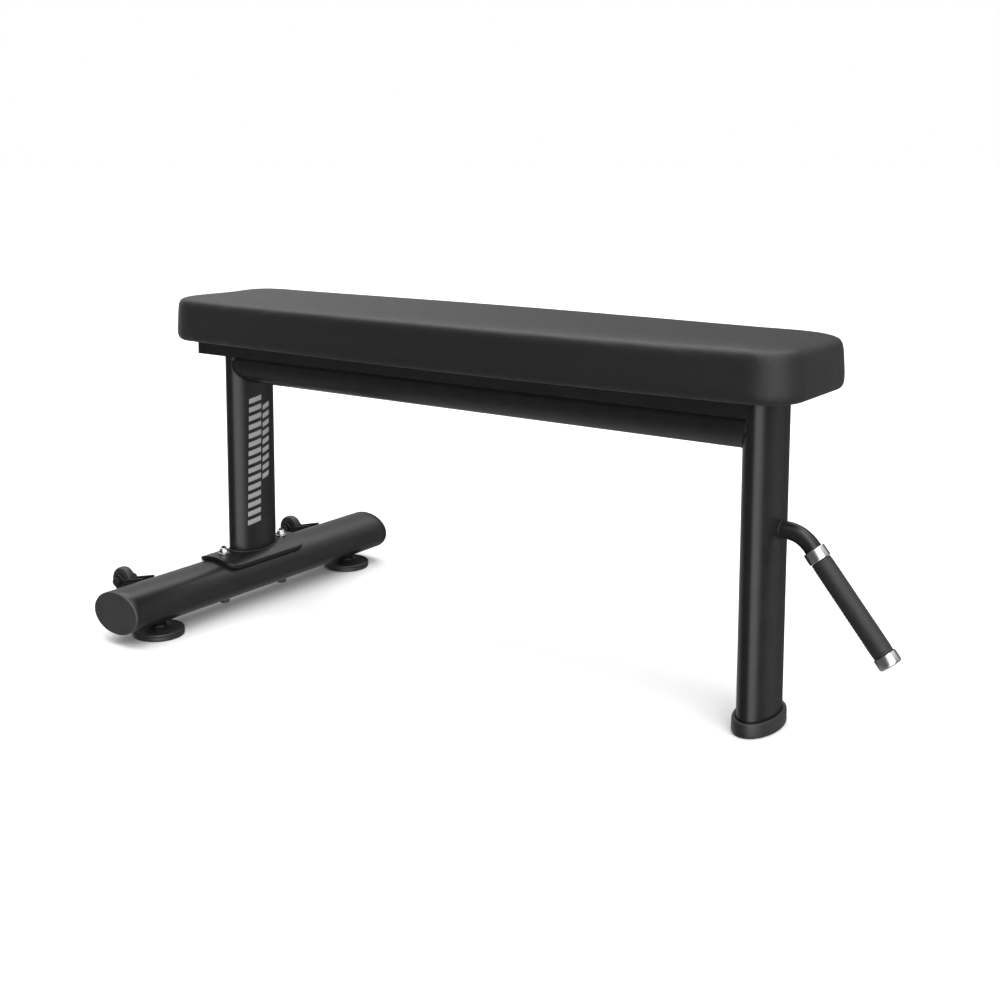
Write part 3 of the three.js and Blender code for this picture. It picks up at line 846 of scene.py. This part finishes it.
def hex_solid(radius, height, hole=0.0, chamfer_bottom=False, count=72):
    """A hexagonal nut or bolt head on Z = 0, with its corners turned off in a cone at the top."""
    flat = radius * math.cos(math.pi / 6)
    drop = (radius - flat) * 0.6
    steps = 4

    def ring(limit, z):
        points = []
        for a in circle(count):
            side = a % (math.pi / 3) - math.pi / 6
            reach = min(flat / math.cos(side), limit)
            points.append((reach * math.cos(a), reach * math.sin(a), z))
        return points

    rings = [ring(hole or 0.05 * MM, 0)]
    if chamfer_bottom:
        rings += [ring(flat * 0.97, 0)]
        rings += [ring(flat + (radius - flat) * k / steps, drop * k / steps) for k in range(steps + 1)]
    else:
        rings += [ring(radius, 0)]
    for k in range(steps, -1, -1):
        rings.append(ring(flat + (radius - flat) * k / steps, height - drop * k / steps))
    rings += [ring(flat * 0.94, height)]
    if not hole:
        return loops(rings, closed=False)
    lead = 0.8 * MM
    return loops(rings + [ring(hole + lead, height), ring(hole, height - lead)])


def threaded(radius, low, high, thread_from, pitch=1.25 * MM, count=32):
    """A screw's shank from low to high, threaded above thread_from and chamfered at its top."""
    depth = 0.55 * pitch
    rings = [oval(radius * 0.6, radius * 0.6, count, low)]
    if thread_from > low:
        rings.append(oval(radius, radius, count, low))
    steps = int((high - thread_from) / pitch * 6)
    for i in range(steps + 1):
        z = thread_from + (high - thread_from) * i / steps
        ring = []
        for a in circle(count):
            phase = (z / pitch - a / (2 * math.pi)) % 1
            reach = radius - depth * abs(2 * phase - 1)
            reach = min(reach, radius - depth * 1.1 + max(0.0, high - z))
            ring.append((reach * math.cos(a), reach * math.sin(a), z))
        rings.append(ring)
    return loops(rings, closed=False)


def washer_mesh(hole, radius, thickness):
    edge = 0.3 * MM
    outline = [(hole, 0), (radius - edge, 0), (radius, edge), (radius, thickness - edge),
               (radius - edge, thickness), (hole, thickness)]
    return turned(outline, 56)


def lock_nut(radius, height, hole):
    """A nut with a round collar that holds a plastic ring."""
    body = hex_solid(radius, height * 0.7, hole, chamfer_bottom=True)
    flat = radius * math.cos(math.pi / 6)
    outline = [(hole, height * 0.6), (flat * 0.9, height * 0.6), (flat * 0.9, height * 0.92),
               (flat * 0.72, height), (hole, height)]
    return merged(body, turned(rounded(outline, 0.4 * MM, 3), 56))


def hex_bolt(radius, head, length, threads):
    """A bolt along +Z: its head first, then a plain shank with threads at the end."""
    top = placed(moved(hex_solid(radius, head), Matrix.Rotation(math.pi, 4, "X")), (0, 0, head))
    return merged(top, threaded(BOLT_RADIUS, head - 0.1 * MM, length, length - threads))


def add_saddle_bolts():
    for end in ENDS:
        _, length, place = standing(f"saddle_bolt_{end}")
        head = box(f"saddle_lower_washer_{end}")[0].z - GAP - place.z
        skin(f"saddle_bolt_{end}", placed(hex_bolt(8.5 * MM, head, length, 30 * MM), place), "black_steel")
        for name, slot in (("saddle_lower_washer", "black_steel"), ("saddle_washer", "zinc_steel")):
            radius, thickness, place = standing(f"{name}_{end}")
            skin(f"{name}_{end}", placed(washer_mesh(BOLT_HOLE, radius, thickness), place), slot)
        radius, height, place = standing(f"saddle_nut_{end}")
        skin(f"saddle_nut_{end}", placed(lock_nut(radius, height, NUT_BORE), place), "zinc_steel")


# ---- boot, feet and wheels ----

def add_boot():
    outer_a, tall, place = standing("upright_boot")
    outer_b = lying("upright_boot")[1] / 2
    inside = outer_a - UP_A - 0.4 * MM
    sole, recess = 5.2 * MM, 1.2 * MM
    # The recessed sole, then the outside from the floor up, the lip and the inside, as (inset, height).
    profile = [(inset * MM, recess) for inset in (26, 22, 21.5, 17, 16.5, 12, 11.5, 7, 6.5)]
    profile += [(4.0 * MM, 0), (2.6 * MM, 0), (1.2 * MM, 0.4 * MM), (0.3 * MM, 1.6 * MM), (0, 3.2 * MM),
                (0.15 * MM, tall * 0.5), (0.3 * MM, tall - 3.0 * MM), (0.7 * MM, tall - 1.4 * MM),
                (1.6 * MM, tall - 0.4 * MM), (2.8 * MM, tall), (inside - 1.0 * MM, tall),
                (inside - 0.3 * MM, tall - 0.3 * MM), (inside, tall - 1.0 * MM), (inside, sole),
                (inside + 12 * MM, sole)]
    rings = [oval(outer_a - inset, outer_b - inset, 112, z) for inset, z in profile]
    skin("upright_boot", placed(loops(rings, closed=False), place), "black_rubber", sharp=40)


def add_feet():
    for end in ENDS:
        body = f"foot_{end}"
        radius, tall, place = standing(f"foot_tread_{end}")
        core = 0.5 * MM
        profile = [(core, 0)]
        for i in range(5):
            start = radius * (0.25 + 0.13 * i)
            profile += [(start, 0), (start + 0.6 * MM, 1.0 * MM), (start + 2.0 * MM, 1.0 * MM),
                        (start + 2.6 * MM, 0)]
        rim = radius - 1.2 * MM
        profile += [(rim, 0), (radius - 0.3 * MM, 0.4 * MM), (radius, 1.3 * MM), (radius, tall - 1.2 * MM),
                    (radius - 0.4 * MM, tall - 0.3 * MM), (rim, tall), (core, tall)]
        tread = turned(profile, 80, closed=False)
        skin(f"foot_tread_{end}", placed(tread, place), "black_rubber", body, sharp=40)

        radius, tall, place = standing(f"foot_disc_{end}")
        hole, socket = 8.3 * MM, 2.0 * MM
        # The disc's rolled edge as (inset, height), then its dished top as (share of the radius, height).
        edge = ((1.6, 0), (0.7, 0.3), (0.1, 1.0), (0, 1.6), (0.2, 2.5), (0.9, 3.2), (2.0, 3.4), (3.6, 3.3),
                (4.6, 2.9))
        dish = ((0.80, 2.9), (0.62, 3.2), (0.48, 3.7), (0.40, 4.3))
        profile = [(core, 0)] + [(radius - inset * MM, z * MM) for inset, z in edge]
        profile += [(radius * share, z * MM) for share, z in dish]
        profile += [(radius * 0.36, tall - 0.3 * MM), (radius * 0.33, tall), (hole + 1.0 * MM, tall),
                    (hole, tall - 0.7 * MM), (hole, socket), (core, socket)]
        disc = turned(profile, 80, closed=False)
        skin(f"foot_disc_{end}", placed(disc, place), "black_plastic", body, sharp=35)

        radius, tall, place = standing(f"foot_stud_{end}")
        stud = threaded(radius, 0, tall, 0, pitch=2 * MM, count=40)
        skin(f"foot_stud_{end}", placed(stud, place), "black_steel", body)

        radius, tall, place = standing(f"foot_nut_{end}")
        nut = hex_solid(radius, tall, 8.1 * MM, chamfer_bottom=True)
        skin(f"foot_nut_{end}", placed(nut, place), "black_steel")


def across(mesh, place):
    """Turns a mesh made along +Z so that it points along +Y, and moves it into place."""
    return moved(mesh, Matrix.Translation(place) @ Matrix.Rotation(-math.pi / 2, 4, "X"))


def softened(mesh, width):
    """Joins a mesh's flat faces, then rounds its edges."""
    work = bmesh.new()
    work.from_mesh(mesh)
    bmesh.ops.remove_doubles(work, verts=work.verts, dist=0.01 * MM)
    bmesh.ops.dissolve_limit(work, angle_limit=math.radians(1), verts=work.verts, edges=work.edges)
    work.to_mesh(mesh)
    work.free()
    return bevelled(mesh, width, 2, angle=50)


def add_wheels():
    for end in ENDS:
        body = f"wheel_{end}"
        fork = frame["nodes"][f"wheel_bracket_{end}"].data.copy()
        skin(f"wheel_bracket_{end}", softened(fork, 0.7 * MM), "frame_paint")

        radius, width, _ = lying(f"wheel_tyre_{end}")
        half = width / 2
        rim, crown = 14.8 * MM, 4 * MM
        profile = [(rim, -half + 1.0 * MM), (rim + 1.5 * MM, -half + 0.2 * MM), (radius - crown, -half)]
        for k in range(13):
            t = math.pi * (k / 12 - 0.5)
            profile.append((radius - crown + crown * math.cos(t) ** 0.6, half * math.sin(t)))
        profile += [(radius - crown, half), (rim + 1.5 * MM, half - 0.2 * MM), (rim, half - 1.0 * MM)]
        tyre = across(turned(profile, 80), box(f"wheel_tyre_{end}")[2])
        skin(f"wheel_tyre_{end}", tyre, "tyre_rubber", body, sharp=40)

        boss = lying(f"wheel_hub_{end}")[1] / 2
        web = half - 2.2 * MM
        right = [(14.5 * MM, half - 0.6 * MM), (12.2 * MM, half), (11.6 * MM, web), (7.8 * MM, web),
                 (7.5 * MM, boss), (4.3 * MM, boss)]
        left = [(reach, -y) for reach, y in reversed(right)]
        hub = turned(rounded(left + right, 0.5 * MM, 3), 72)
        skin(f"wheel_hub_{end}", across(hub, box(f"wheel_hub_{end}")[2]), "black_plastic", body)

        _, length, place = lying(f"wheel_axle_bolt_{end}")
        bolt = hex_bolt(7.5 * MM, 5.5 * MM, length, 12 * MM)
        skin(f"wheel_axle_bolt_{end}", across(bolt, place), "black_steel")
        radius, width, place = lying(f"wheel_washer_{end}")
        skin(f"wheel_washer_{end}", across(washer_mesh(4.2 * MM, radius, width), place), "black_steel")
        radius, width, place = lying(f"wheel_lock_nut_{end}")
        skin(f"wheel_lock_nut_{end}", across(lock_nut(radius, width, NUT_BORE), place), "black_steel")


# ---- handle ----

def bend_point(start, turn):
    """The middle of the tube, a given turn into the bend that begins at start."""
    return start + Vector((HANDLE_BEND * math.sin(turn), 0, -HANDLE_BEND * (1 - math.cos(turn))))


def add_handle():
    start = Vector((HANDLE_UP.x + UP_A + 7 * MM, 0, box("handle_tube")[1].z - HANDLE_RADIUS))
    end = bend_point(start, HANDLE_TILT)
    slope = Matrix.Translation(end) @ Matrix.Rotation(math.pi / 2 + HANDLE_TILT, 4, "Y")
    grip_start = COLLAR_START + COLLAR_LENGTH + GAP
    straight = grip_start + GRIP_LENGTH

    def along(mesh, distance):
        """Lays a mesh made along +Z on the handle's straight part, at a distance from the bend."""
        return moved(mesh, slope @ Matrix.Translation((0, 0, distance)))

    centres = [(Vector((HANDLE_UP.x + UP_A - 8 * MM, 0, start.z)), 0.0), (start, 0.0)]
    steps = 24
    for i in range(1, steps + 1):
        turn = HANDLE_TILT * i / steps
        centres.append((bend_point(start, turn), turn))
    down = Vector((math.cos(HANDLE_TILT), 0, -math.sin(HANDLE_TILT)))
    centres += [(end + down * straight * i / 6, HANDLE_TILT) for i in range(1, 7)]
    rings = []
    for radius, order in ((HANDLE_RADIUS, centres), (HANDLE_RADIUS - 2.5 * MM, centres[::-1])):
        for centre, turn in order:
            up = Vector((math.sin(turn), 0, math.cos(turn)))
            rings.append([centre + radius * (Vector((0, math.cos(a), 0)) + up * math.sin(a))
                          for a in circle(64)])
    skin("handle_tube", loops(rings), "frame_paint")

    outer = 15.6 * MM
    outline = [(SLEEVE_BORE, 0), (outer, 0), (outer, COLLAR_LENGTH), (SLEEVE_BORE, COLLAR_LENGTH)]
    collar = turned(rounded(outline, 1.2 * MM))
    skin("handle_collar", along(collar, COLLAR_START), "bright_metal")
    skin("handle_grip", along(grip_mesh(), grip_start), "grip_rubber", sharp=60)
    skin("handle_end_cap", along(end_cap_mesh(), straight + GAP), "bright_metal", sharp=40)


def grip_mesh():
    """A rubber sleeve along +Z, with a crossed pattern of small points between two grooves."""
    sides, rows = 144, 168
    depth, pitch = 0.35 * MM, 1.65 * MM
    rings = [oval(SLEEVE_BORE, SLEEVE_BORE, sides, 0)]
    for i in range(rows + 1):
        z = GRIP_LENGTH * i / rows
        edge = min(z, GRIP_LENGTH - z)
        ring = []
        for a in circle(sides):
            weave = math.sin(18 * a + z / pitch) * math.sin(18 * a - z / pitch)
            textured = depth * max(0.0, weave) if edge > 5 * MM else 0.0
            rolled = GRIP_RADIUS - depth + textured - max(0.0, 1.2 * MM - edge) * 0.7
            if abs(edge - 4 * MM) < 0.6 * MM:
                rolled -= 0.5 * MM
            ring.append((rolled * math.cos(a), rolled * math.sin(a), z))
        rings.append(ring)
    rings.append(oval(SLEEVE_BORE, SLEEVE_BORE, sides, GRIP_LENGTH))
    return loops(rings)


def end_cap_mesh():
    """A domed cap along +Z, with a plug that fits inside the tube below it."""
    core, plug, plug_length = 0.4 * MM, 9.2 * MM, 14 * MM
    radius, shoulder, face = 16 * MM, 12.6 * MM, 15.5 * MM
    outline = [(core, -plug_length), (plug, -plug_length), (plug, 0), (15.2 * MM, 0), (15.8 * MM, 0.3 * MM),
               (radius, 1.0 * MM), (radius, shoulder)]
    for k in range(1, 7):
        t = math.pi / 2 * k / 6
        outline.append((13 * MM + 3 * MM * math.cos(t), shoulder + 3.4 * MM * math.sin(t)))
    outline += [(12.0 * MM, 16 * MM), (11.4 * MM, face), (core, face)]
    return turned(outline, 80, closed=False)


# ---- pad ----

PAD_END_HALF = 116 * MM
PAD_MIDDLE_HALF = 138 * MM
PAD_CORNER = 62 * MM
PAD_EDGE = 9 * MM
# How far the foam may swell, and how often the swelling and then the skin are evened out.
SWELL_CAP = 6 * MM
SWELL_ROUNDS = 60
SKIN_ROUNDS = 6
STAPLE_SPACING = 26 * MM


def pad_outline(inset, count_side=60, count_corner=12):
    """The pad's outline in plan, inset all round: long sides that bow outwards, and round corners."""
    left, right = pad_low.x + inset, pad_high.x - inset
    centre, half = (left + right) / 2, (right - left) / 2
    end_half, mid_half = PAD_END_HALF - inset, PAD_MIDDLE_HALF - inset
    radius = PAD_CORNER - inset

    def width(x):
        return end_half + (mid_half - end_half) * (1 - ((x - centre) / half) ** 2)

    shoulder = width(right - radius)
    crown = 2 * mid_half - shoulder
    points = []
    for side in (-1, 1):
        ends = (left + radius, right - radius) if side < 0 else (right - radius, left + radius)
        for i in range(count_side):
            t = i / count_side
            x = (1 - t) ** 2 * ends[0] + 2 * t * (1 - t) * centre + t ** 2 * ends[1]
            y = side * ((1 - t) ** 2 * shoulder + 2 * t * (1 - t) * crown + t ** 2 * shoulder)
            points.append((x, y))
        turns = ((-math.pi / 2, 0, right), (0, math.pi / 2, right)) if side < 0 else \
            ((math.pi / 2, math.pi, left), (math.pi, 1.5 * math.pi, left))
        for number, (first, last, edge) in enumerate(turns):
            cx = edge - radius if edge == right else edge + radius
            sign = -1 if (side < 0) == (number == 0) else 1
            cy = sign * (shoulder - radius)
            for i in range(count_corner):
                a = first + (last - first) * i / count_corner
                points.append((cx + radius * math.cos(a), cy + radius * math.sin(a)))
            if number == 0:
                points.append((cx + radius * math.cos(last), cy + radius * math.sin(last)))
    return points


def add_pad():
    """The cushion: a slightly small form with rounded edges, remeshed, swelled and subdivided."""
    shrink = 1.0 * MM
    bottom = pad_low.z + 1.0 * MM
    shoulder = pad_high.z - PAD_EDGE - 1.5 * MM
    quarter = [math.pi / 2 * k / 5 for k in range(6)]
    rings = [(PAD_EDGE * (1 - math.sin(t)), bottom + PAD_EDGE * 0.8 * (1 - math.cos(t))) for t in quarter]
    rings += [(PAD_EDGE * (1 - math.cos(t)), shoulder + PAD_EDGE * math.sin(t)) for t in quarter]
    form = [[(x, y, z) for x, y in pad_outline(shrink + inset)] for inset, z in rings]
    cushion = bpy.data.objects.new("cushion_form", loops(form, closed=False))
    scene.collection.objects.link(cushion)
    remesh = cushion.modifiers.new("remesh", "REMESH")
    remesh.mode = "VOXEL"
    remesh.voxel_size = 5 * MM
    apply_modifiers(cushion)
    inflate(cushion)
    subdivide = cushion.modifiers.new("subdivide", "SUBSURF")
    subdivide.levels = subdivide.render_levels = 1
    apply_modifiers(cushion)
    mesh = cushion.data.copy()
    bpy.data.objects.remove(cushion)
    pad = skin("pad_cushion", mesh, "upholstery", sharp=180)


def add_pad_underside():
    """The plywood board, the cover's edge folded under it, and the staples that hold the fold."""
    recess = 1.4 * MM
    outline = pad_outline(board_low.x - pad_low.x + 0.1 * MM)
    board = prism(outline, board_low.z + recess, board_high.z)
    holes = [drill(BOARD_HOLE, board_low.z - PAST, board_high.z + PAST, box(f"pad_bolt_{place}")[2].x, 0)
             for place in PAD_PLACES]
    skin("pad_board", drilled(board, *holes), "plywood")
    rng = random.Random(11)
    piece("pad_cover_fold", cover_fold(rng), "upholstery", sharp=50)
    piece("pad_staples", staples_along(pad_outline(27 * MM), rng), "zinc_steel", material=STAPLE)


def cover_fold(rng):
    """The cover's folded edge: a thin strip around the pad's underside, whose inner edge wavers."""
    outer, inner = 9 * MM, 34 * MM
    bend, hem, tuck = outer + 4 * MM, inner - 1 * MM, inner - 5 * MM
    section = ((outer, 0.9), (bend, 0.25), (tuck, 0.15), (hem, 0.25), (inner, 0.8), (hem, 1.35), (bend, 1.35),
               (outer, 1.3))
    rings = [[] for _ in section]
    outlines = [pad_outline(inset) for inset, _ in section]
    total = len(outlines[0])
    waver = [rng.uniform(-1.2, 1.2) * MM for _ in range(total)]
    for j in range(total):
        smooth = (waver[j - 1] + waver[j] + waver[(j + 1) % total]) / 3
        for ring, points, (inset, height) in zip(rings, outlines, section):
            x, y = points[j]
            pull = smooth if inset > 20 * MM else 0.0
            ring.append((x + pull * (1 if x < PAD.x else -1) * 0.3, y + pull * (1 if y < 0 else -1),
                         pad_low.z + height * MM))
    return loops(rings)


def staples_along(line, rng):
    """Staples at an even spacing along a closed line, apart from where the channel covers it."""
    staples = []
    travelled = 0.0
    for j, point in enumerate(line):
        here, after = Vector(point), Vector(line[(j + 1) % len(line)])
        gap = (after - here).length
        while travelled < gap:
            at = here.lerp(after, travelled / gap)
            travelled += STAPLE_SPACING
            if abs(at.y) < CHANNEL_HALF + 6 * MM and at.x > channel_low.x - 8 * MM:
                continue
            turn = math.atan2(after.y - here.y, after.x - here.x) + rng.uniform(-0.25, 0.25)
            turned_staple = moved(staple_mesh(), Matrix.Rotation(turn, 4, "Z"))
            staples.append(placed(turned_staple, (at.x, at.y, pad_low.z + 0.1 * MM)))
        travelled -= gap
    return merged(*staples)


def staple_mesh():
    """A staple's crown, with its two legs turned up into the board."""
    half, wire, leg, corner = 5 * MM, 0.45 * MM, 1.2 * MM, 0.3 * MM
    path = [(-half, leg), (-half, corner), (corner - half, 0), (half - corner, 0), (half, corner),
            (half, leg)]
    thick = wire * 1.4
    rings = []
    for x, z in path:
        upright = z > 0
        inner_x = x - math.copysign(thick, x) if upright else x
        inner_z = z if upright else z + thick
        rings.append([(x, -wire, z), (x, wire, z), (inner_x, wire, inner_z), (inner_x, -wire, inner_z)])
    return loops(rings, closed=False)


def apply_modifiers(made):
    evaluated = made.evaluated_get(bpy.context.evaluated_depsgraph_get())
    mesh = bpy.data.meshes.new_from_object(evaluated)
    made.modifiers.clear()
    made.data = mesh


def evened(mesh, values, held, rounds):
    """Averages a value at each point with its neighbours', again and again. Held points keep theirs."""
    ends = np.zeros(len(mesh.edges) * 2, dtype=np.int64)
    mesh.edges.foreach_get("vertices", ends)
    first, second = ends.reshape(-1, 2).T
    count = np.zeros(len(values))
    np.add.at(count, first, 1)
    np.add.at(count, second, 1)
    for _ in range(rounds):
        near = np.zeros_like(values)
        np.add.at(near, first, values[second])
        np.add.at(near, second, values[first])
        values = np.where(held, values, 0.5 * values + 0.5 * near / count[:, None])
    return values


def inflate(cushion):
    """Swells the foam under its cover with a short cloth simulation. No point moves further than the cap."""
    rest = np.zeros(len(cushion.data.vertices) * 3)
    cushion.data.vertices.foreach_get("co", rest)
    rest = rest.reshape(-1, 3)
    pinned = cushion.vertex_groups.new(name="held")
    floor = pad_low.z + 3 * MM
    pinned.add([i for i, point in enumerate(rest) if point[2] < floor], 1.0, "REPLACE")
    cloth = cushion.modifiers.new("cloth", "CLOTH")
    cloth.settings.use_pressure = True
    cloth.settings.uniform_pressure_force = 4
    cloth.settings.vertex_group_mass = "held"
    cloth.settings.effector_weights.gravity = 0
    cloth.settings.tension_stiffness = 40
    cloth.settings.compression_stiffness = 40
    cloth.settings.bending_stiffness = 4
    for number in range(1, 21):
        scene.frame_set(number)
    apply_modifiers(cushion)
    scene.frame_set(1)
    moved_to = np.zeros(len(cushion.data.vertices) * 3)
    cushion.data.vertices.foreach_get("co", moved_to)
    step = moved_to.reshape(-1, 3) - rest
    length = np.linalg.norm(step, axis=1, keepdims=True)
    step *= np.minimum(1.0, SWELL_CAP / np.maximum(length, 1e-9))
    held = (rest[:, 2] < floor)[:, None]
    step = evened(cushion.data, np.where(held, 0.0, step), held, SWELL_ROUNDS)
    settled = evened(cushion.data, rest + step, held, SKIN_ROUNDS)
    cushion.data.vertices.foreach_set("co", settled.ravel())
    cushion.data.update()


# ---- build ----

add_camera()
add_studio()
add_base()
add_saddle()
add_uprights()
add_crossbar()
add_channel()
add_welds()
add_marking()
add_saddle_bolts()
add_boot()
add_feet()
add_wheels()
add_handle()
add_pad()
add_pad_underside()

slots = {entry["node"]: entry["material_slot"] for entry in frame["record"]["subparts"]}
for node, made in frame["nodes"].items():
    made.data.materials.clear()
    made.data.materials.append(MATERIALS[slots[node]])
